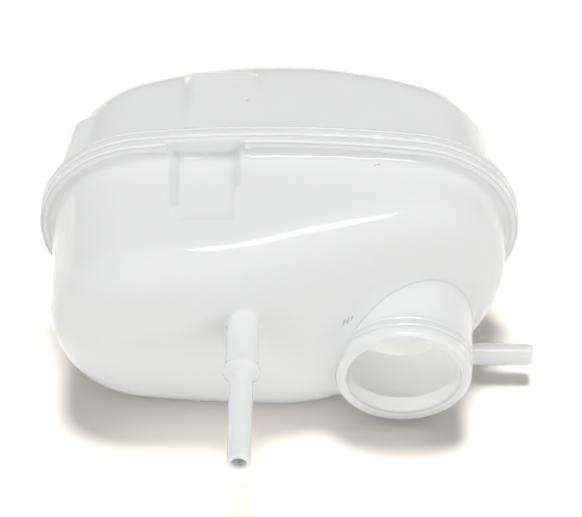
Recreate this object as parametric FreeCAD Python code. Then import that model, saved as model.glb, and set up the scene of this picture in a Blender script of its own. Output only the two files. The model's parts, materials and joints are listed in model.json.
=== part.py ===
import FreeCAD, Part
import math
import os

from FreeCAD import Placement, Rotation, Vector

# Coolant expansion tank: two moulded half shells of natural polypropylene, welded at a lip.
# The tank is drawn upright, as it hangs in the car: the weld is the plane z = 0, the filler
# neck points along +z and the side that faces the body bracket is +y. Millimetres.
# At the end it is laid on its side, where it comes to rest on its lip and its upper shell.

# Oval of the shells at the weld: four tangent arcs
shell_half_length = 88.6
shell_half_width = 44.4
side_arc_radius = 420.0
wall = 2.8

# Weld lip round both shells
lip_width = 4.9
upper_lip_height = 4.4
lower_lip_height = 5.0
lip_edge_chamfer = 0.8

# Upper shell: a level dome that falls away towards one corner, where the filler neck stands
upper_draft = 3.0
dome_height = 68.5
slope_start = 1.0
slope_angle = 26.5
slope_turn = 37.0
slope_blend_radius = 60.0
upper_edge_radius = 22.0

# Lower shell: its floor is arched along the tank
lower_draft = 7.5
lower_depth = 63.0
floor_arch_radius = 205.0
lower_edge_radius = 26.0

# Filler neck
neck_x = 47.5
neck_y = -9.5
neck_rim_height = 70.5
neck_outer_radius = 25.6
neck_seal_radius = 21.8
neck_seal_length = 8.0
neck_throat_radius = 23.3
neck_flare_radius = 9.0
neck_rim_radius = 2.2

# Hose spigots: radius of the pipe, its bore and the boss that it stands on
spigot_radius = 4.4
spigot_bore_radius = 2.7
spigot_boss_radius = 6.0
spigot_tip_chamfer = 0.7
vent_x = -12.5
vent_y = 19.0
vent_boss_length = 22.5
vent_collar_radius = 7.3
vent_collar_length = 2.6
vent_cone_length = 3.6
vent_pipe_length = 41.0
bleed_y = -32.0
bleed_z = 40.0
bleed_boss_end_x = 74.0
bleed_pipe_length = 25.5

# Feed outlet under the lower shell
outlet_x = 8.0
outlet_y = -18.0
outlet_radius = 10.0
outlet_bore_radius = 7.6
outlet_pipe_length = 24.0
outlet_boss_radius = 13.0
outlet_boss_length = 6.0
outlet_tip_chamfer = 1.0

# Flat in the upper shell's wall that lets the body bracket pass, cut a little into the lip
flat_x = -27.5
flat_floor_width = 20.0
flat_mouth_width = 28.5
flat_depth = 3.6
flat_length = 34.0
flat_turn = 3.0
flat_lip_cut = 1.5

# Bracket pad on the lower shell, with a small snap catch
pad_x = -22.5
pad_width = 26.5
pad_top_y = 42.7
pad_length = 37.0
pad_corner_radius = 1.5
catch_width = 14.0
catch_z = -21.0
catch_height = 1.2
catch_run = 6.0

# Guide rib on the end of the lower shell
rib_y = 26.0
rib_thickness = 3.6
rib_length = 25.0
rib_reach = 4.2
rib_corner_radius = 4.0

# Cutters run past a face by this much, and edges closer than touch count as one
overshoot = 1.0
touch = 0.01


# Oval outlines

def end_arc_radius(half_length, half_width, side_radius):
    """Radius of the end arcs that meet the side arcs without a corner."""
    top = 2 * side_radius * half_width - half_length ** 2 - half_width ** 2
    return top / (2 * (side_radius - half_length))


def oval_wire(grow, z):
    """The weld oval grown outwards by grow, at height z."""
    a = shell_half_length + grow
    b = shell_half_width + grow
    side = side_arc_radius + grow
    end = end_arc_radius(a, b, side)
    to_end = Vector(a - end, side - b, 0)
    corner = Vector(0, b - side, 0) + to_end * (side / to_end.Length)
    tx, ty = corner.x, corner.y
    arcs = [
        Part.Arc(Vector(tx, -ty, z), Vector(a, 0, z), Vector(tx, ty, z)),
        Part.Arc(Vector(tx, ty, z), Vector(0, b, z), Vector(-tx, ty, z)),
        Part.Arc(Vector(-tx, ty, z), Vector(-a, 0, z), Vector(-tx, -ty, z)),
        Part.Arc(Vector(-tx, -ty, z), Vector(0, -b, z), Vector(tx, -ty, z)),
    ]
    return Part.Wire([arc.toShape() for arc in arcs])


def drafted_block(inset, draft, z_from, z_to):
    """Oval block whose sides lean in by the draft angle as they run from the weld to z_to."""
    lean = math.tan(math.radians(draft)) * math.copysign(1.0, z_to)
    low = oval_wire(-inset - lean * z_from, z_from)
    high = oval_wire(-inset - lean * z_to, z_to)
    return Part.makeLoft([low, high], True, True)


def lip(z_from, height):
    """Oval slab of one weld lip with bevelled outer edges."""
    block = Part.Face(oval_wire(lip_width, z_from)).extrude(Vector(0, 0, height))
    level = [edge for edge in block.Edges if edge.BoundBox.ZLength < lip_edge_chamfer]
    return block.makeChamfer(lip_edge_chamfer, level)


# Helpers for edges and round pieces

def face_lean(face, point):
    """Angle of the face's normal from level at a point, in degrees: 0 on an upright wall."""
    u, v = face.Surface.parameter(point)
    return math.degrees(math.asin(min(1.0, abs(face.normalAt(u, v).z))))


def rim_edges(shape):
    """Edges away from the weld where an upright wall meets a level or sloping end face."""
    half_turn = 45.0
    found = []
    for edge in shape.Edges:
        faces = shape.ancestorsOfType(edge, Part.Face)
        middle = edge.valueAt((edge.FirstParameter + edge.LastParameter) / 2)
        leans = sorted(face_lean(face, middle) for face in faces)
        at_weld = abs(middle.z) < upper_lip_height
        if not at_weld and leans[0] < half_turn < leans[-1]:
            found.append(edge)
    return found


def rod(radius, start, end):
    """Cylinder between two points."""
    along = end - start
    return Part.makeCylinder(radius, along.Length, start, along)


def cone(radius_start, radius_end, start, end):
    """Cone frustum between two points."""
    along = end - start
    return Part.makeCone(radius_start, radius_end, along.Length, start, along)


def pipe_with_tip(radius, chamfer, start, end):
    """Hose pipe with a bevelled tip."""
    along = (end - start).normalize()
    shoulder = end - along * chamfer
    return rod(radius, start, shoulder).fuse(cone(radius, radius - chamfer, shoulder, end))


# Upper shell

def under_roof(drop):
    """Everything below the dome and its slope, with both set in by drop."""
    slope = math.radians(slope_angle)
    reach = 2 * shell_half_length
    blend = slope_blend_radius - drop
    tangent = blend * math.tan(slope / 2)
    knee = Vector(slope_start - drop * math.tan(slope / 2), 0, dome_height - drop)
    down = Vector(math.cos(slope), 0, -math.sin(slope))
    blend_start = knee - Vector(tangent, 0, 0)
    blend_end = knee + down * tangent
    centre = blend_start - Vector(0, 0, blend)
    half = slope / 2
    blend_middle = centre + Vector(math.sin(half), 0, math.cos(half)) * blend
    left_top = Vector(-reach, 0, knee.z)
    right_top = blend_end + down * reach
    left_foot = Vector(-reach, 0, -reach)
    right_foot = Vector(right_top.x, 0, -reach)
    outline = Part.Wire([
        Part.makeLine(left_foot, left_top),
        Part.makeLine(left_top, blend_start),
        Part.Arc(blend_start, blend_middle, blend_end).toShape(),
        Part.makeLine(blend_end, right_top),
        Part.makeLine(right_top, right_foot),
        Part.makeLine(right_foot, left_foot),
    ])
    prism = Part.Face(outline).extrude(Vector(0, 2 * reach, 0))
    prism.translate(Vector(0, -reach, 0))
    prism.rotate(Vector(0, 0, 0), Vector(0, 0, 1), slope_turn)
    return prism


def upper_body(inset, z_from):
    """Closed body of the upper shell, inset by a wall from its outside."""
    block = drafted_block(inset, upper_draft, z_from, dome_height + wall)
    body = block.common(under_roof(inset)).removeSplitter()
    return body.makeFillet(upper_edge_radius - inset, rim_edges(body))


def flat_cutter(grow):
    """Room of the bracket flat: leaning sides in the wall, upright ones through the lip."""
    floor_y = shell_half_width - flat_depth - grow
    half_floor = flat_floor_width / 2 + grow
    half_mouth = flat_mouth_width / 2 + grow
    outer_y = shell_half_width + 2 * lip_width
    start = upper_lip_height - flat_lip_cut - grow
    corners = [
        Vector(flat_x - half_floor, floor_y, start),
        Vector(flat_x + half_floor, floor_y, start),
        Vector(flat_x + half_mouth, shell_half_width - grow, start),
        Vector(flat_x + half_mouth, outer_y, start),
        Vector(flat_x - half_mouth, outer_y, start),
        Vector(flat_x - half_mouth, shell_half_width - grow, start),
    ]
    length = flat_length + 2 * grow
    room = Part.Face(Part.makePolygon(corners + corners[:1])).extrude(Vector(0, 0, length))
    room.rotate(Vector(flat_x, shell_half_width, 0), Vector(0, 0, 1), flat_turn)
    return room


def is_neck_wall(face):
    """Whether a face is the outside of the filler neck."""
    if not isinstance(face.Surface, Part.Cylinder):
        return False
    return abs(face.Surface.Radius - neck_outer_radius) < touch


def neck_foot_edges(shape):
    """Edges where the neck's wall comes out of the roof."""
    rim = neck_rim_height - neck_rim_radius - touch
    found = []
    for edge in shape.Edges:
        on_neck = any(is_neck_wall(face) for face in shape.ancestorsOfType(edge, Part.Face))
        box = edge.BoundBox
        goes_round = box.XLength + box.YLength > touch
        if on_neck and goes_round and box.ZMax < rim:
            found.append(edge)
    return found


def make_neck():
    """Outside of the filler neck, from the weld plane to its rounded rim."""
    neck = rod(neck_outer_radius, Vector(neck_x, neck_y, 0), Vector(neck_x, neck_y, neck_rim_height))
    rim = [edge for edge in neck.Edges if edge.BoundBox.ZMin > neck_rim_height - touch]
    return neck.makeFillet(neck_rim_radius, rim)


def neck_bore():
    """Sealing land for the cap's ring, with a wider throat below it."""
    floor = Vector(neck_x, neck_y, 0)
    land = Vector(neck_x, neck_y, neck_rim_height - neck_seal_length)
    mouth = Vector(neck_x, neck_y, neck_rim_height + overshoot)
    return rod(neck_seal_radius, land, mouth).fuse(rod(neck_throat_radius, floor, land))


def make_upper_shell():
    outside = upper_body(0.0, 0.0)
    outside = outside.fuse(make_neck()).removeSplitter()
    outside = outside.makeFillet(neck_flare_radius, neck_foot_edges(outside))
    outside = outside.fuse(lip(0.0, upper_lip_height))
    outside = outside.cut(flat_cutter(0.0))

    # Vent spigot: stands on the dome and points the same way as the neck, with a hose stop
    up = Vector(0, 0, 1)
    vent_foot = Vector(vent_x, vent_y, dome_height - upper_edge_radius)
    vent_stop = Vector(vent_x, vent_y, dome_height + vent_boss_length)
    vent_collar = vent_stop - up * vent_collar_length
    vent_cone_end = vent_stop + up * vent_cone_length
    vent_tip = vent_stop + up * vent_pipe_length
    outside = outside.fuse(rod(spigot_boss_radius, vent_foot, vent_stop))
    outside = outside.fuse(cone(spigot_boss_radius, vent_collar_radius, vent_collar, vent_stop))
    outside = outside.fuse(cone(vent_collar_radius, spigot_radius, vent_stop, vent_cone_end))
    outside = outside.fuse(pipe_with_tip(spigot_radius, spigot_tip_chamfer, vent_foot, vent_tip))

    # Bleed spigot: leaves the end wall along the tank, below the neck
    along = Vector(1, 0, 0)
    bleed_foot = Vector(neck_x, bleed_y, bleed_z)
    bleed_stop = Vector(bleed_boss_end_x, bleed_y, bleed_z)
    bleed_tip = bleed_stop + along * bleed_pipe_length
    outside = outside.fuse(rod(spigot_boss_radius, bleed_foot, bleed_stop))
    outside = outside.fuse(pipe_with_tip(spigot_radius, spigot_tip_chamfer, bleed_foot, bleed_tip))

    cavity = upper_body(wall, -wall).cut(flat_cutter(wall))
    shell = outside.cut(cavity)
    shell = shell.cut(neck_bore())
    shell = shell.cut(rod(spigot_bore_radius, vent_foot, vent_tip + up * overshoot))
    shell = shell.cut(rod(spigot_bore_radius, bleed_foot, bleed_tip + along * overshoot))
    return shell.removeSplitter()


# Lower shell

def above_floor(rise):
    """Everything above the arched floor, raised by rise."""
    reach = 2 * shell_half_length
    centre = Vector(0, -reach, floor_arch_radius - lower_depth)
    return Part.makeCylinder(floor_arch_radius - rise, 2 * reach, centre, Vector(0, 1, 0))


def lower_body(inset, z_from):
    """Closed body of the lower shell, inset by a wall from its outside."""
    block = drafted_block(inset, lower_draft, z_from, -lower_depth - wall)
    body = block.common(above_floor(inset)).removeSplitter()
    return body.makeFillet(lower_edge_radius - inset, rim_edges(body))


def make_pad():
    """Flat bracket pad along the wall, with a catch that ramps up towards the lip."""
    foot_y = shell_half_width - lower_edge_radius
    far_z = -lower_lip_height - pad_length
    left = pad_x - pad_width / 2
    pad = Part.makeBox(pad_width, pad_top_y - foot_y, pad_length, Vector(left, foot_y, far_z))
    far_corners = []
    for edge in pad.Edges:
        if edge.BoundBox.YLength > touch and edge.BoundBox.ZMax < far_z + touch:
            far_corners.append(edge)
    pad = pad.makeFillet(pad_corner_radius, far_corners)
    side = pad_x - catch_width / 2
    ramp = [
        Vector(side, foot_y, catch_z),
        Vector(side, pad_top_y + catch_height, catch_z),
        Vector(side, pad_top_y, catch_z - catch_run),
        Vector(side, foot_y, catch_z - catch_run),
    ]
    catch = Part.Face(Part.makePolygon(ramp + ramp[:1])).extrude(Vector(catch_width, 0, 0))
    return pad.fuse(catch)


def make_rib():
    """Flat guide rib that runs down the end wall from the lip."""
    depth = rib_length + lower_lip_height
    reach = shell_half_length + lip_width
    near_y = rib_y - rib_thickness / 2
    plate = Part.makeBox(reach / 2, rib_thickness, depth, Vector(-reach, near_y, -depth))
    plate = plate.common(drafted_block(-rib_reach, lower_draft, 0.0, -depth))
    far_corner = []
    for edge in plate.Edges:
        box = edge.BoundBox
        across = box.YLength > rib_thickness - touch
        outermost = box.XMax < -reach / 2 - touch
        if across and outermost and box.ZMax < touch - depth:
            far_corner.append(edge)
    return plate.makeFillet(rib_corner_radius, far_corner)


def make_lower_shell():
    outside = lower_body(0.0, 0.0)
    outside = outside.fuse(lip(-lower_lip_height, lower_lip_height))
    outside = outside.fuse(make_pad())
    outside = outside.fuse(make_rib())

    # Feed outlet: points down, away from the neck
    down = Vector(0, 0, -1)
    outlet_foot = Vector(outlet_x, outlet_y, lower_edge_radius - lower_depth)
    outlet_floor = Vector(outlet_x, outlet_y, -lower_depth)
    outlet_stop = outlet_floor + down * outlet_boss_length
    outlet_tip = outlet_stop + down * outlet_pipe_length
    outside = outside.fuse(rod(outlet_boss_radius, outlet_foot, outlet_floor))
    outside = outside.fuse(cone(outlet_boss_radius, outlet_radius, outlet_floor, outlet_stop))
    outside = outside.fuse(pipe_with_tip(outlet_radius, outlet_tip_chamfer, outlet_foot, outlet_tip))

    shell = outside.cut(lower_body(wall, wall))
    shell = shell.cut(rod(outlet_bore_radius, outlet_foot, outlet_tip + down * overshoot))
    return shell.removeSplitter()


# Rest pose: the tank tips forward until its upper lip and its upper shell both touch the table

def lay_angle():
    """Lean of the weld plane from upright, in degrees: the line on the lip's edge and the rounding."""
    draft = math.radians(upper_draft)
    shell_z = dome_height - upper_edge_radius
    shell_y = shell_half_width - shell_z * math.tan(draft) - upper_edge_radius / math.cos(draft)
    lip_z = upper_lip_height - lip_edge_chamfer
    lip_y = shell_half_width + lip_width
    apart = math.hypot(lip_y - shell_y, shell_z - lip_z)
    to_shell = math.atan2(lip_y - shell_y, shell_z - lip_z)
    return math.degrees(to_shell - math.asin(upper_edge_radius / apart))


def lay_down(shapes):
    """Turn the tank on its side and set it on z = 0, centred over the origin."""
    box = FreeCAD.BoundBox()
    for shape in shapes:
        shape.Placement = Placement(Vector(0, 0, 0), Rotation(Vector(1, 0, 0), 90 + lay_angle()))
        box.add(shape.optimalBoundingBox(False))
    shift = Vector(-box.Center.x, -box.Center.y, -box.ZMin)
    for shape in shapes:
        shape.translate(shift)
    return shift


def main():
    os.makedirs("parts", exist_ok=True)
    shells = {"upper_shell": make_upper_shell(), "lower_shell": make_lower_shell()}
    shift = lay_down(list(shells.values()))
    for name, shape in shells.items():
        shape.exportStep(f"parts/{name}.step")
        print(name, "solids", len(shape.Solids), "valid", shape.isValid(), "volume", round(shape.Volume))
    print("lay angle", round(lay_angle(), 4), "shift", shift)


main()
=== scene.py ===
import json
import math

import bmesh
import bpy
from mathutils import Matrix, Vector


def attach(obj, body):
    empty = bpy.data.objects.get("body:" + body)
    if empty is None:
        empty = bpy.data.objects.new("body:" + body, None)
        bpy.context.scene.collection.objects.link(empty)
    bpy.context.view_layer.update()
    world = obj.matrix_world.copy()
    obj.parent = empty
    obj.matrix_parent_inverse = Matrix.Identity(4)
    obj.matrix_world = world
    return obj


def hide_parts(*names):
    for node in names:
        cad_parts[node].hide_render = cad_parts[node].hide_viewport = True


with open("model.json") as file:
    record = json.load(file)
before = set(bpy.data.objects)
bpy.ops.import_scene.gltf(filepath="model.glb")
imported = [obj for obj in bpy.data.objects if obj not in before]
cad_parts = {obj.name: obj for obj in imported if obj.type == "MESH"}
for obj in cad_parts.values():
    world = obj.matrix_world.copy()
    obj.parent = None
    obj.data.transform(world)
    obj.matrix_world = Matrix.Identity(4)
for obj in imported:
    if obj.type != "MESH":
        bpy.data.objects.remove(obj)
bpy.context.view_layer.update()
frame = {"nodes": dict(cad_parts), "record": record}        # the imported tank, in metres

scene = bpy.context.scene
scene.view_settings.view_transform = "Standard"
mm = 0.001
print("frame:", sorted(frame["nodes"]))


# Small helpers for meshes and node trees

def mountOf(name):       # a mount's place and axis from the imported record
    for mount in frame["record"]["mounts"]:
        if mount["name"] == name:
            return Vector(mount["pos_m"]), Vector(mount["axis"]).normalized()


def pieceFrom(bm, name, material, sharpAngle):
    mesh = bpy.data.meshes.new(name)
    bm.to_mesh(mesh)
    bm.free()
    for polygon in mesh.polygons:
        polygon.use_smooth = True
    mesh.set_sharp_from_angle(angle=math.radians(sharpAngle))
    mesh.materials.append(material)
    piece = bpy.data.objects.new(name, mesh)
    scene.collection.objects.link(piece)
    return piece


def addNode(tree, kind, place, **values):
    node = tree.nodes.new(kind)
    node.location = place
    for key, value in values.items():
        if key in node.inputs:
            node.inputs[key].default_value = value
        else:
            setattr(node, key, value)
    return node


def newMaterial(name):
    material = bpy.data.materials.new(name)
    material.use_nodes = True
    material.node_tree.nodes.clear()
    return material, material.node_tree


# The tank's own directions, as it hangs: x along it, y to the bracket side, z out of the filler neck

tank = {
    "neckPlace": (47.5 * mm, -9.5 * mm, 66.5 * mm),      # the neck's mount, from the middle of the weld
    "halfLength": 88.6 * mm,                             # the shells' oval at the weld
    "halfWidth": 44.4 * mm,
    "sideRadius": 420.0 * mm,
    "lipWidth": 4.9 * mm,
}


def tankSpace():
    place, ahead = mountOf("filler_neck")
    side = mountOf("bracket_pad")[1]
    turn = Matrix((side.cross(ahead), side, ahead)).transposed()
    return Matrix.Translation(place - turn @ Vector(tank["neckPlace"])) @ turn.to_4x4()


def ovalArcs(grow):      # radii of the ends and sides, places of their centres, angle where they meet
    a, b = tank["halfLength"] + grow, tank["halfWidth"] + grow
    side = tank["sideRadius"] + grow
    end = (2 * side * b - a * a - b * b) / (2 * (side - a))
    return end, side, a - end, side - b, math.atan2(side - b, a - end)


def outsideOval(x, y):   # how far a point stands outside the shells' oval
    end, side, endPlace, sidePlace, meet = ovalArcs(0.0)
    x, y = abs(x), abs(y)
    if math.atan2(y, x - endPlace) < meet:
        return math.hypot(x - endPlace, y) - end
    return math.hypot(x, y + sidePlace) - side


# Natural plastic: milky, a little see-through, satin from the mould

plastic = {
    "milk": ((0.835, 0.845, 0.842, 1.0), (0.855, 0.862, 0.858, 1.0)),    # clouded between two tones
    "highlightTones": ((0.94, 0.945, 0.95, 1.0), (0.97, 0.97, 0.97, 1.0)),        # paler than the milk: painted highlight for the bright lines along the lip
    "cloud": {"Scale": 16.0, "Detail": 1.5},
    "scuff": {"Scale": 60.0, "Detail": 2.0},
    "wave": {"Scale": 45.0, "Detail": 2.0},
    "grain": {"Scale": 1400.0, "Detail": 2.0},
    "rough": {"From Min": 0.35, "From Max": 0.65, "To Min": 0.11, "To Max": 0.16},
    "waveRelief": {"Strength": 0.12, "Distance": 0.6 * mm},
    "grainRelief": {"Strength": 0.05, "Distance": 0.05 * mm},
    "shader": {
        "IOR": 1.49,
        "Specular IOR Level": 0.25,
        "Subsurface Weight": 1.0,
        "Subsurface Radius": (1.0, 0.98, 0.92),
    },
    "scatterReach": 0.9 * mm,
    "thinReach": 0.25 * mm,      # in ridges and beads
}
shadeAndDirtStrokes = {        # short strokes on the mouldings, painted shade and dirt, in the tank's directions and mm: from, to, radius
    "recessShade": {
        "tone": (0.77, 0.775, 0.775, 1.0),   # painted shade on the sloped sides of the bracket flat's recess
        "core": 0.6,                         # share of the radius that has the full tone
        "strokes": (((-39.4, 41.6, 5.0), (-38.8, 41.2, 28.0), 2.5),
                    ((-15.7, 42.3, 5.0), (-15.3, 42.3, 20.0), 2.1)),
    },
    "dirt": {
        "tone": (0.56, 0.55, 0.54, 1.0),
        "core": 0.2,
        "strokes": (((24.4, 8.3, 59.4), (25.2, 9.8, 58.2), 0.5),
                    ((25.9, 9.1, 59.1), (26.6, 10.5, 57.8), 0.45),
                    ((27.4, 10.1, 58.5), (28.1, 11.2, 57.4), 0.4),
                    ((35.7, 42.3, 9.6), (38.0, 42.2, 8.9), 0.45),
                    ((-12.7, 42.7, -24.4), (-12.5, 42.7, -24.4), 0.7)),
    },
}


def makeStrokeMask():        # 1 along a short stroke, 0 away from it
    group = bpy.data.node_groups.new("strokeMask", "ShaderNodeTree")
    for name in ("Place", "Start", "Run"):
        group.interface.new_socket(name, in_out="INPUT", socket_type="NodeSocketVector")
    for name in ("Radius", "Core"):
        group.interface.new_socket(name, in_out="INPUT", socket_type="NodeSocketFloat")
    group.interface.new_socket("Mask", in_out="OUTPUT", socket_type="NodeSocketFloat")
    link = group.links.new
    given = addNode(group, "NodeGroupInput", (-900, 0))
    away = addNode(group, "ShaderNodeVectorMath", (-700, 150), operation="SUBTRACT")
    link(given.outputs["Place"], away.inputs[0])
    link(given.outputs["Start"], away.inputs[1])
    along = addNode(group, "ShaderNodeVectorMath", (-500, 150), operation="DOT_PRODUCT")
    link(away.outputs["Vector"], along.inputs[0])
    link(given.outputs["Run"], along.inputs[1])
    whole = addNode(group, "ShaderNodeVectorMath", (-500, -50), operation="DOT_PRODUCT")
    link(given.outputs["Run"], whole.inputs[0])
    link(given.outputs["Run"], whole.inputs[1])
    share = addNode(group, "ShaderNodeMath", (-300, 50), operation="DIVIDE", use_clamp=True)
    link(along.outputs["Value"], share.inputs[0])
    link(whole.outputs["Value"], share.inputs[1])
    foot = addNode(group, "ShaderNodeVectorMath", (-100, 50), operation="SCALE")
    link(given.outputs["Run"], foot.inputs[0])
    link(share.outputs["Value"], foot.inputs["Scale"])
    gap = addNode(group, "ShaderNodeVectorMath", (100, 150), operation="DISTANCE")
    link(away.outputs["Vector"], gap.inputs[0])
    link(foot.outputs["Vector"], gap.inputs[1])
    ratio = addNode(group, "ShaderNodeMath", (300, 100), operation="DIVIDE")
    link(gap.outputs["Value"], ratio.inputs[0])
    link(given.outputs["Radius"], ratio.inputs[1])
    ends = {"From Max": 1.0, "To Min": 1.0, "To Max": 0.0}
    mask = addNode(group, "ShaderNodeMapRange", (500, 100), **ends)
    link(given.outputs["Core"], mask.inputs["From Min"])
    link(ratio.outputs["Value"], mask.inputs["Value"])
    out = addNode(group, "NodeGroupOutput", (700, 100))
    link(mask.outputs["Result"], out.inputs["Mask"])
    return group


def makeMouldedSkin():       # the clouding, gloss and relief that all the plastic shares
    group = bpy.data.node_groups.new("mouldedSkin", "ShaderNodeTree")
    group.interface.new_socket("Place", in_out="INPUT", socket_type="NodeSocketVector")
    for name in ("Cloud", "Roughness"):
        group.interface.new_socket(name, in_out="OUTPUT", socket_type="NodeSocketFloat")
    group.interface.new_socket("Normal", in_out="OUTPUT", socket_type="NodeSocketVector")
    link = group.links.new
    given = addNode(group, "NodeGroupInput", (-900, 0))
    noise = {}
    for row, kind in enumerate(("cloud", "scuff", "wave", "grain")):
        noise[kind] = addNode(group, "ShaderNodeTexNoise", (-650, 450 - 300 * row), **plastic[kind])
        link(given.outputs["Place"], noise[kind].inputs["Vector"])
    rough = addNode(group, "ShaderNodeMapRange", (-350, 150), **plastic["rough"])
    link(noise["scuff"].outputs["Fac"], rough.inputs["Value"])
    wavy = addNode(group, "ShaderNodeBump", (-350, -150), **plastic["waveRelief"])
    link(noise["wave"].outputs["Fac"], wavy.inputs["Height"])
    fine = addNode(group, "ShaderNodeBump", (-150, -300), **plastic["grainRelief"])
    link(noise["grain"].outputs["Fac"], fine.inputs["Height"])
    link(wavy.outputs["Normal"], fine.inputs["Normal"])
    out = addNode(group, "NodeGroupOutput", (100, 0))
    link(noise["cloud"].outputs["Fac"], out.inputs["Cloud"])
    link(rough.outputs["Result"], out.inputs["Roughness"])
    link(fine.outputs["Normal"], out.inputs["Normal"])
    return group


strokeMask = makeStrokeMask()
mouldedSkin = makeMouldedSkin()


def mixTone(tree, spot, factor, below, tone):        # the tone where the factor is 1
    mix = addNode(tree, "ShaderNodeMix", spot, data_type="RGBA")
    mix.inputs[7].default_value = tone
    tree.links.new(factor, mix.inputs["Factor"])
    tree.links.new(below, mix.inputs[6])
    return mix.outputs[2]


def addShadeAndDirt(tree, place, color):        # lays the painted shade and the dirt strokes over a colour
    inTank = addNode(tree, "ShaderNodeMapping", (-1300, 800))
    toTank = tankSpace().inverted()
    inTank.inputs["Location"].default_value = toTank.translation
    inTank.inputs["Rotation"].default_value = toTank.to_euler()
    tree.links.new(place, inTank.inputs["Vector"])
    for row, kind in enumerate(shadeAndDirtStrokes.values()):
        mask = None
        for column, (start, end, radius) in enumerate(kind["strokes"]):
            spot = (-1000 + 180 * column, 700 + 260 * row)
            stroke = addNode(tree, "ShaderNodeGroup", spot, node_tree=strokeMask)
            stroke.inputs["Start"].default_value = Vector(start) * mm
            stroke.inputs["Run"].default_value = (Vector(end) - Vector(start)) * mm
            stroke.inputs["Radius"].default_value = radius * mm
            stroke.inputs["Core"].default_value = kind["core"]
            tree.links.new(inTank.outputs["Vector"], stroke.inputs["Place"])
            if mask is None:
                mask = stroke.outputs["Mask"]
                continue
            both = addNode(tree, "ShaderNodeMath", (spot[0] + 100, spot[1] - 100), operation="MAXIMUM")
            tree.links.new(mask, both.inputs[0])
            tree.links.new(stroke.outputs["Mask"], both.inputs[1])
            mask = both.outputs["Value"]
        color = mixTone(tree, (-250 + 150 * row, 500), mask, color, kind["tone"])
    return color


def makePlastic(name, tones, reach, withShadeAndDirt):
    material, tree = newMaterial(name)
    link = tree.links.new
    place = addNode(tree, "ShaderNodeTexCoord", (-1600, 0))
    skin = addNode(tree, "ShaderNodeGroup", (-800, 0), node_tree=mouldedSkin)
    link(place.outputs["Object"], skin.inputs["Place"])
    tint = addNode(tree, "ShaderNodeMix", (-500, 250), data_type="RGBA")
    tint.inputs[6].default_value, tint.inputs[7].default_value = tones
    link(skin.outputs["Cloud"], tint.inputs["Factor"])
    color = tint.outputs[2]
    # painted recess shade and dirt strokes over the clouded tone
    if withShadeAndDirt:
        color = addShadeAndDirt(tree, place.outputs["Object"], color)
    shader = addNode(tree, "ShaderNodeBsdfPrincipled", (450, 100), **plastic["shader"])
    shader.inputs["Subsurface Scale"].default_value = reach
    link(color, shader.inputs["Base Color"])
    link(skin.outputs["Roughness"], shader.inputs["Roughness"])
    link(skin.outputs["Normal"], shader.inputs["Normal"])
    out = addNode(tree, "ShaderNodeOutputMaterial", (750, 100))
    link(shader.outputs["BSDF"], out.inputs["Surface"])
    return material


naturalPlastic = makePlastic("naturalPlastic", plastic["milk"], plastic["scatterReach"], True)
thinPlastic = makePlastic("thinPlastic", plastic["milk"], plastic["thinReach"], False)
# the beads' paler plastic is painted highlight
paintedHighlightPlastic = makePlastic("paintedHighlightPlastic", plastic["highlightTones"], plastic["thinReach"], False)
print("plastic made")


# The end of the neck, turned as pieces of its own, because an even mesh would round its sealing land

neckEnd = {      # radii, and heights from the neck's mount
    "outer": 25.8 * mm,
    "outerFoot": 27.2 * mm,                  # drafted
    "hidden": 24.2 * mm,                     # where the moulding's own mouth draws back to
    "land": 21.76 * mm,
    "throat": 23.26 * mm,
    "sleeve": 22.6 * mm,                     # hidden behind the bore
    "rim": 4.02 * mm,
    "rimRound": (1.0 * mm, 3.0 * mm),        # across and along the neck
    "mouthRound": (0.4 * mm, 0.4 * mm),
    "mouthFoot": 2.8 * mm,
    "landFoot": -4.0 * mm,
    "foot": -26.0 * mm,
    "boreTop": 0.1 * mm,                     # the bore's piece laps over the end's by these
    "boreFoot": 0.2 * mm,
    "drawn": 27.0 * mm,                      # the moulding within this radius draws back
    "drawnFoot": -38.0 * mm,
    "drawnRim": 1.6 * mm,                    # to this far behind the rim
    "steps": 180,
    "sharpAngle": 25.0,
}


def addRing(bm, points):         # a closed outline of edges
    verts = [bm.verts.new(point) for point in points]
    return verts + [bm.edges.new((verts[i - 1], verts[i])) for i in range(len(verts))]


def toNeck():                    # from the neck's own directions to its place
    place = mountOf("filler_neck")[0]
    return Matrix.Translation(place) @ tankSpace().to_3x3().to_4x4()


def turnOnNeck(outline, name, material):         # a closed outline turned round the neck's axis
    bm = bmesh.new()
    ring = addRing(bm, [(reach, 0.0, rise) for reach, rise in outline])
    bmesh.ops.spin(bm, geom=ring, axis=(0.0, 0.0, 1.0), cent=(0.0, 0.0, 0.0), angle=2 * math.pi,
                   steps=neckEnd["steps"], use_merge=True, use_duplicate=False)
    bmesh.ops.recalc_face_normals(bm, faces=bm.faces)
    bmesh.ops.transform(bm, matrix=toNeck(), verts=bm.verts)
    return pieceFrom(bm, name, material, neckEnd["sharpAngle"])


def makeNeckEnd():
    outline = [(neckEnd["sleeve"], neckEnd["mouthFoot"]), (neckEnd["sleeve"], neckEnd["foot"]),
               (neckEnd["outerFoot"], neckEnd["foot"])]
    for corner, shape, side, turns in (("outer", "rimRound", 1, (0, 15, 30, 40, 50, 60, 70, 80, 90)),
                                       ("land", "mouthRound", -1, (90, 60, 30, 0))):
        across, along = neckEnd[shape]
        for degrees in turns:
            angle = math.radians(degrees)
            outline.append((neckEnd[corner] - side * across * (1 - math.cos(angle)),
                            neckEnd["rim"] - along * (1 - math.sin(angle))))
    outline.append((neckEnd["land"], neckEnd["mouthFoot"]))
    return turnOnNeck(outline, "neckEnd", naturalPlastic)


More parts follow.
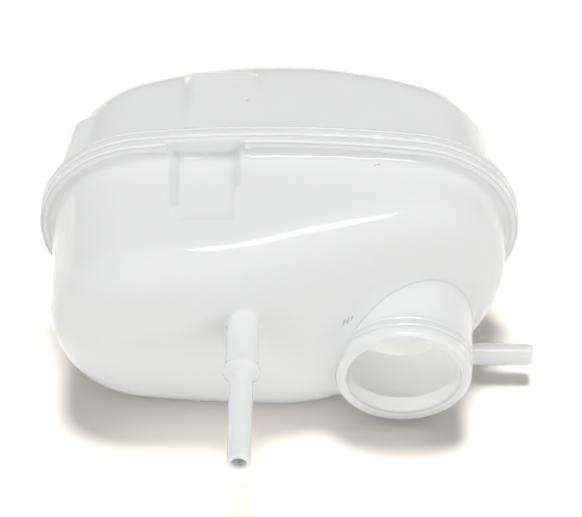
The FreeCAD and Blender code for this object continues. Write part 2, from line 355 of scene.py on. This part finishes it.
def makeNeckBore():      # the sealing land and the throat behind it
    top, foot = neckEnd["mouthFoot"] + neckEnd["boreTop"], neckEnd["foot"] - neckEnd["boreFoot"]
    outline = [(neckEnd["hidden"], top), (neckEnd["land"], top), (neckEnd["land"], neckEnd["landFoot"]),
               (neckEnd["throat"], neckEnd["landFoot"]), (neckEnd["throat"], foot), (neckEnd["hidden"], foot)]
    return turnOnNeck(outline, "neckBore", thinPlastic)


thread = {
    "height": 0.2 * mm,          # over the neck's wall
    "root": 0.3 * mm,            # sunk in it
    "halfWidth": 1.1 * mm,
    "crest": 0.35,               # share of the width that is flat
    "rim": 4.0 * mm,             # from the neck's mount to its rim
    "pitch": 3.0 * mm,
    "turns": 2.2,
    "below": 4.2 * mm,           # from the rim to the first ridge
    "steps": 110,
    "runOut": 12,                # steps over which the ridge fades at each end
    "start": -150.0,
    "sharpAngle": 60.0,
}


def makeThread():
    bm = bmesh.new()
    base = neckEnd["outer"] - thread["root"]
    crest = neckEnd["outer"] + thread["height"]
    half = thread["halfWidth"]
    flat = half * thread["crest"]
    level = thread["rim"] - thread["below"]
    draft = (neckEnd["outerFoot"] - neckEnd["outer"]) / (thread["rim"] - neckEnd["foot"])
    outline = [(base, -half), (crest, -flat), (crest, flat), (base, half)]
    turn = Matrix.Rotation(math.radians(thread["start"]), 3, "Z")
    points = [turn @ Vector((reach, 0.0, level + rise)) for reach, rise in outline]
    swept = thread["turns"]
    bmesh.ops.spin(bm, geom=addRing(bm, points), axis=(0.0, 0.0, -1.0), cent=(0.0, 0.0, 0.0),
                   dvec=(0.0, 0.0, -thread["pitch"] * swept / thread["steps"]),
                   angle=2 * math.pi * swept, steps=thread["steps"], use_duplicate=False)
    bmesh.ops.holes_fill(bm, edges=[edge for edge in bm.edges if edge.is_boundary], sides=4)
    bmesh.ops.recalc_face_normals(bm, faces=bm.faces)
    for vert in bm.verts:        # both ends sink into the neck
        travel = (level - vert.co.z) / thread["pitch"] / swept
        near = min(travel, 1.0 - travel) * thread["steps"] / thread["runOut"]
        reach = math.hypot(vert.co.x, vert.co.y)
        sunk = base + (reach - base) * max(0.0, min(1.0, near)) + draft * (thread["rim"] - vert.co.z)
        vert.co.x *= sunk / reach
        vert.co.y *= sunk / reach
    bmesh.ops.transform(bm, matrix=toNeck(), verts=bm.verts)
    return pieceFrom(bm, "neckThread", thinPlastic, thread["sharpAngle"])


# The two mouldings, copied from the frame, evened and softened

shells = {"upperShell": "upper_shell", "lowerShell": "lower_shell"}
shellFinish = {
    "mergeWithin": 0.004 * mm,
    "sharpAngle": 32.0,
    "voxel": 1.06 * mm,
    "relax": 0.5,
    "relaxSteps": 2,
}
padSoftening = {         # the bracket pad's sides and catch, in the tank's own directions
    "middle": -22.5 * mm,
    "halfWidth": 26.0 * mm,
    "inner": 20.0 * mm,
    "foot": -52.0 * mm,
    "top": -5.8 * mm,
    "steps": 30,
}
lipSoftening = {         # where the upper lip's front meets the wall, away from the bracket flat
    "flatMiddle": -27.5 * mm,
    "flatHalfWidth": 17.0 * mm,
    "flatInner": 36.0 * mm,
    "foot": 3.4 * mm,
    "top": 9.0 * mm,
    "reach": 2.8 * mm,
    "steps": 12,
}


def inPad(x, y, z):
    beside = abs(x - padSoftening["middle"]) < padSoftening["halfWidth"]
    return beside and y > padSoftening["inner"] and padSoftening["foot"] < z < padSoftening["top"]


def inLipCorner(x, y, z):
    aside = abs(x - lipSoftening["flatMiddle"]) > lipSoftening["flatHalfWidth"]
    onLip = lipSoftening["foot"] < z < lipSoftening["top"] and outsideOval(x, y) < lipSoftening["reach"]
    return onLip and (aside or y < lipSoftening["flatInner"])


def soften(mesh):
    bm = bmesh.new()
    bm.from_mesh(mesh)
    fromTank = tankSpace()
    toTank = fromTank.inverted()
    for inside, softening in ((inPad, padSoftening), (inLipCorner, lipSoftening)):
        verts = [vert for vert in bm.verts if inside(*(toTank @ vert.co))]
        for step in range(softening["steps"]):
            bmesh.ops.smooth_vert(bm, verts=verts, factor=0.5,
                                  use_axis_x=True, use_axis_y=True, use_axis_z=True)
    middle = Vector(tank["neckPlace"])
    deepest = neckEnd["rim"] - neckEnd["drawnRim"]
    for vert in bm.verts:            # the neck's mouth draws back into the piece that is turned for it
        place = toTank @ vert.co - middle
        reach = math.hypot(place.x, place.y)
        if reach < neckEnd["drawn"] and place.z > neckEnd["drawnFoot"]:
            wide = max(1.0, neckEnd["hidden"] / reach)
            place = Vector((place.x * wide, place.y * wide, min(place.z, deepest)))
            vert.co = fromTank @ (place + middle)
    bm.to_mesh(mesh)
    bm.free()


def makeShell(pieceName, nodeName):
    bm = bmesh.new()
    bm.from_mesh(frame["nodes"][nodeName].data)
    bmesh.ops.remove_doubles(bm, verts=bm.verts, dist=shellFinish["mergeWithin"])
    piece = pieceFrom(bm, pieceName, naturalPlastic, shellFinish["sharpAngle"])
    remesh = piece.modifiers.new("evenMesh", "REMESH")
    remesh.mode = "VOXEL"
    remesh.voxel_size = shellFinish["voxel"]
    remesh.use_smooth_shade = True
    relax = piece.modifiers.new("relax", "SMOOTH")
    relax.factor = shellFinish["relax"]
    relax.iterations = shellFinish["relaxSteps"]
    depsgraph = bpy.context.evaluated_depsgraph_get()
    even = bpy.data.meshes.new_from_object(piece.evaluated_get(depsgraph))
    piece.modifiers.clear()
    soften(even)
    piece.data = even
    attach(piece, "root")
    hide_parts(nodeName)
    print(pieceName, len(piece.data.vertices), "vertices", len(piece.data.polygons), "faces")
    return piece


# Weld beads along the lip, in a paler plastic that paints highlight lines along the lip's edges

beads = {
    "lines": (       # out from the lip's edge, height, half width, half height, broken at the bracket flat
        (-0.65 * mm, 0.0, 1.0 * mm, 1.0 * mm, False),
        (-0.45 * mm, -3.2 * mm, 0.7 * mm, 0.7 * mm, False),
        (-0.45 * mm, 3.8 * mm, 0.7 * mm, 0.7 * mm, True),
        # a flat pale strip over the lip's front face: painted light where that face falls in shade
        (-2.7 * mm, 4.35 * mm, 1.7 * mm, 0.3 * mm, True),
    ),
    "flat": (-12.8 * mm, -42.2 * mm),
    "ringSides": 12,
    "stepAngle": {"side": 0.35, "end": 4.0},
    "mergeWithin": 0.02 * mm,
    "sharpAngle": 60.0,
}


def makeBeads():
    bm = bmesh.new()
    for grow, level, wide, tall, broken in beads["lines"]:
        end, side, endPlace, sidePlace, meet = ovalArcs(tank["lipWidth"] + grow)
        arcs = [
            ("end", (endPlace, 0.0), end, -meet, meet),
            ("end", (-endPlace, 0.0), end, math.pi - meet, math.pi + meet),
            ("side", (0.0, sidePlace), side, math.pi + meet, 2 * math.pi - meet),
        ]
        stops = [math.acos(place / side) for place in beads["flat"]] if broken else []
        turns = [meet] + stops + [math.pi - meet]
        arcs += [("side", (0.0, -sidePlace), side, *turns[i:i + 2]) for i in range(0, len(turns), 2)]
        for kind, (x, y), reach, start, stop in arcs:
            turn = Matrix.Rotation(start, 3, "Z")
            points = []
            for i in range(beads["ringSides"]):
                angle = 2 * math.pi * i / beads["ringSides"]
                point = Vector((reach + wide * math.cos(angle), 0.0, level + tall * math.sin(angle)))
                points.append(turn @ point + Vector((x, y, 0.0)))
            steps = round(math.degrees(stop - start) / beads["stepAngle"][kind])
            bmesh.ops.spin(bm, geom=addRing(bm, points), axis=(0.0, 0.0, 1.0), cent=(x, y, 0.0),
                           angle=stop - start, steps=steps, use_duplicate=False)
    bmesh.ops.remove_doubles(bm, verts=bm.verts, dist=beads["mergeWithin"])
    ends = [edge for edge in bm.edges if edge.is_boundary]
    bmesh.ops.holes_fill(bm, edges=ends, sides=beads["ringSides"])
    bmesh.ops.recalc_face_normals(bm, faces=bm.faces)
    bmesh.ops.transform(bm, matrix=tankSpace(), verts=bm.verts)
    return pieceFrom(bm, "weldBeads", paintedHighlightPlastic, beads["sharpAngle"])


# All the pieces, and the groups that single lamps reach

litGroups = {lit: bpy.data.collections.new("lit" + lit.title()) for lit in ("tank", "neck", "bore", "floor")}
for shellName, nodeName in shells.items():
    litGroups["tank"].objects.link(makeShell(shellName, nodeName))
details = ((makeNeckEnd(), "neck"), (makeNeckBore(), "bore"), (makeThread(), "neck"), (makeBeads(), "tank"))
for detail, lit in details:
    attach(detail, "root")
    for group in sorted({"tank", lit}):
        litGroups[group].objects.link(detail)
    print(detail.name, len(detail.data.polygons), "faces")


# Stage, light and camera

stage = {
    "floorSize": 6.0,
    "floorColors": ((0.95, 0.885, 0.80, 1.0), (0.96, 0.90, 0.82, 1.0)),
    "mottle": {"Scale": 9.0, "Detail": 3.0},
    "floorBounce": (0.54, 0.54, 0.53, 1.0),     # what the tank gets back from it
    "floorLift": 0.11,          # added where it is seen or mirrored, so that the bare floor is white
    "sharpAngle": 30.0,
    "ambientFront": 0.45,
    "ambientBack": 0.12,
    "mirrorFront": 1.0,         # what glossy rays see
    "mirrorBack": 0.25,
}


def makeFloor():
    material, tree = newMaterial("studioFloor")
    link = tree.links.new
    place = addNode(tree, "ShaderNodeTexCoord", (-800, 0))
    mottle = addNode(tree, "ShaderNodeTexNoise", (-600, 0), **stage["mottle"])
    link(place.outputs["Object"], mottle.inputs["Vector"])
    paper = addNode(tree, "ShaderNodeMix", (-350, 0), data_type="RGBA")
    paper.inputs[6].default_value, paper.inputs[7].default_value = stage["floorColors"]
    link(mottle.outputs["Fac"], paper.inputs["Factor"])
    path = addNode(tree, "ShaderNodeLightPath", (-1000, 300))
    looked = path.outputs["Is Camera Ray"]
    for column, ray in enumerate(("Is Glossy Ray", "Is Transmission Ray")):
        either = addNode(tree, "ShaderNodeMath", (-750 + 200 * column, 300), operation="ADD", use_clamp=True)
        link(looked, either.inputs[0])
        link(path.outputs[ray], either.inputs[1])
        looked = either.outputs["Value"]
    shown = addNode(tree, "ShaderNodeMix", (-200, 0), data_type="RGBA")
    shown.inputs[6].default_value = stage["floorBounce"]
    link(looked, shown.inputs["Factor"])
    link(paper.outputs[2], shown.inputs[7])
    matt = addNode(tree, "ShaderNodeBsdfDiffuse", (0, 0))
    link(shown.outputs[2], matt.inputs["Color"])
    seen = addNode(tree, "ShaderNodeMath", (-100, 300), operation="MULTIPLY")
    seen.inputs[1].default_value = stage["floorLift"]
    link(looked, seen.inputs[0])
    lift = addNode(tree, "ShaderNodeEmission", (100, 300))
    link(seen.outputs["Value"], lift.inputs["Strength"])
    both = addNode(tree, "ShaderNodeAddShader", (300, 100))
    link(matt.outputs["BSDF"], both.inputs[0])
    link(lift.outputs["Emission"], both.inputs[1])
    out = addNode(tree, "ShaderNodeOutputMaterial", (500, 100))
    link(both.outputs["Shader"], out.inputs["Surface"])
    bm = bmesh.new()
    bmesh.ops.create_grid(bm, x_segments=1, y_segments=1, size=stage["floorSize"] / 2)
    floor = pieceFrom(bm, "studioFloor", material, stage["sharpAngle"])
    litGroups["floor"].objects.link(floor)


lamps = {
    "stripLamp": {"size": (0.62, 0.022), "place": (0.113, -0.036, 0.86), "aim": (0.113, -0.036, 0.0),
                  "turn": -25.6, "power": 4.6, "shine": True, "lights": None},
    "frontLamp": {"size": (2.2, 0.24), "place": (0.15, -1.6, 0.13), "aim": (0.0, 0.0, 0.05),
                  "turn": 0.0, "power": 7.0, "shine": False, "lights": "tank"},
    "neckLamp": {"size": (0.2, 0.2), "place": (0.045, -0.1, 0.6), "aim": (0.045, -0.045, 0.03),
                 "turn": 0.0, "power": 2.4, "shine": True, "lights": "neck"},
    "mouthLamp": {"size": (0.1, 0.1), "place": (0.0445, -0.465, 0.936), "aim": (0.0445, -0.045, 0.03),
                  "turn": 0.0, "power": 2.2, "shine": False, "lights": "bore"},
    "seepLamp": {"size": (0.09, 0.02), "place": (-0.025, -0.07, 0.03), "aim": (-0.025, -0.06, 0.0),
                 "turn": 0.0, "power": 0.006, "shine": False, "lights": "floor"},
}
suns = {     # soft light; bearing 0 comes from the front and 90 from the right, seen from above
    "tankTopSun": {"bearing": 180.0, "height": 80.0, "spread": 50.0, "power": 1.6, "lights": "tank"},
    "tankLeftSun": {"bearing": -75.0, "height": 15.0, "spread": 90.0, "power": 0.78, "lights": "tank"},
    "tankRightSun": {"bearing": 75.0, "height": 15.0, "spread": 90.0, "power": 0.85, "lights": "tank"},
    "floorSun": {"bearing": 180.0, "height": 78.0, "spread": 22.0, "power": 3.85, "lights": "floor"},
}
innerGlow = {         # what comes in through the walls
    "place": (0.0, 0.02, 0.05),
    "radius": 20 * mm,
    "power": 0.067,
    "color": (1.0, 0.97, 0.92),
}


def makeAir():
    world = bpy.data.worlds.new("studioAir")
    world.use_nodes = True
    tree = world.node_tree
    link = tree.links.new
    tree.nodes.clear()
    aim = addNode(tree, "ShaderNodeTexCoord", (-800, 0))
    split = addNode(tree, "ShaderNodeSeparateXYZ", (-600, 0))
    link(aim.outputs["Generated"], split.inputs["Vector"])
    airs = {}
    for use, spot in (("ambient", 150), ("mirror", -150)):
        ends = {"From Min": -1.0, "To Min": stage[use + "Front"], "To Max": stage[use + "Back"]}
        fade = addNode(tree, "ShaderNodeMapRange", (-400, spot), **ends)
        link(split.outputs["Y"], fade.inputs["Value"])
        airs[use] = addNode(tree, "ShaderNodeBackground", (-200, spot))
        link(fade.outputs["Result"], airs[use].inputs["Strength"])
    path = addNode(tree, "ShaderNodeLightPath", (-200, 450))
    pick = addNode(tree, "ShaderNodeMixShader", (50, 0))
    link(path.outputs["Is Glossy Ray"], pick.inputs["Fac"])
    link(airs["ambient"].outputs["Background"], pick.inputs[1])
    link(airs["mirror"].outputs["Background"], pick.inputs[2])
    out = addNode(tree, "ShaderNodeOutputWorld", (250, 0))
    link(pick.outputs["Shader"], out.inputs["Surface"])
    scene.world = world


def linkLamp(lamp, shine, lights):     # a shine lamp is only seen mirrored, the others only light
    lamp.visible_camera = False
    lamp.visible_glossy = shine
    lamp.visible_diffuse = not shine
    if lights:
        lamp.light_linking.receiver_collection = litGroups[lights]
    scene.collection.objects.link(lamp)


def makeLamp(name, make):
    light = bpy.data.lights.new(name, "AREA")
    light.shape = "RECTANGLE"
    light.size, light.size_y = make["size"]
    light.energy = make["power"]
    lamp = bpy.data.objects.new(name, light)
    ahead = Vector(make["aim"]) - Vector(make["place"])
    aimed = ahead.to_track_quat("-Z", "Y").to_matrix().to_4x4()
    turned = Matrix.Rotation(math.radians(make["turn"]), 4, "Z")
    lamp.matrix_world = Matrix.Translation(make["place"]) @ aimed @ turned
    linkLamp(lamp, make["shine"], make["lights"])


def makeSun(name, make):
    light = bpy.data.lights.new(name, "SUN")
    light.angle = math.radians(make["spread"])
    light.energy = make["power"]
    lamp = bpy.data.objects.new(name, light)
    bearing = math.radians(make["bearing"])
    height = math.radians(make["height"])
    level = math.cos(height)
    source = Vector((math.sin(bearing) * level, -math.cos(bearing) * level, math.sin(height)))
    lamp.rotation_euler = source.to_track_quat("Z", "Y").to_euler()
    linkLamp(lamp, False, make["lights"])


def makeInnerGlow():
    light = bpy.data.lights.new("innerGlow", "POINT")
    light.shadow_soft_size = innerGlow["radius"]
    light.energy = innerGlow["power"]
    light.color = innerGlow["color"]
    lamp = bpy.data.objects.new("innerGlow", light)
    lamp.location = innerGlow["place"]
    linkLamp(lamp, False, None)


view = {
    "target": (1.63 * mm, 18.413 * mm, 31.21 * mm),
    "distance": 900 * mm,
    "azimuth": -0.3,
    "elevation": 39.05,
    "roll": 0.28,
    "lens": 140.0,
    "sensor": 36.0,
}


def makeCamera():
    azimuth = math.radians(view["azimuth"])
    elevation = math.radians(view["elevation"])
    level = math.cos(elevation)
    ahead = Vector((math.sin(azimuth) * level, math.cos(azimuth) * level, -math.sin(elevation)))
    right = Vector((math.cos(azimuth), -math.sin(azimuth), 0.0))
    up = right.cross(ahead)
    turn = Matrix((right, up, -ahead)).transposed() @ Matrix.Rotation(math.radians(view["roll"]), 3, "Z")
    data = bpy.data.cameras.new("photoCamera")
    data.lens = view["lens"]
    data.sensor_width = view["sensor"]
    data.sensor_fit = "HORIZONTAL"
    camera = bpy.data.objects.new("photoCamera", data)
    place = Vector(view["target"]) - view["distance"] * ahead
    camera.matrix_world = Matrix.Translation(place) @ turn.to_4x4()
    scene.collection.objects.link(camera)
    scene.camera = camera


makeFloor()
makeAir()
for lampName, lampMake in lamps.items():
    makeLamp(lampName, lampMake)
for sunName, sunMake in suns.items():
    makeSun(sunName, sunMake)
makeInnerGlow()
makeCamera()
print("stage, light and camera set")
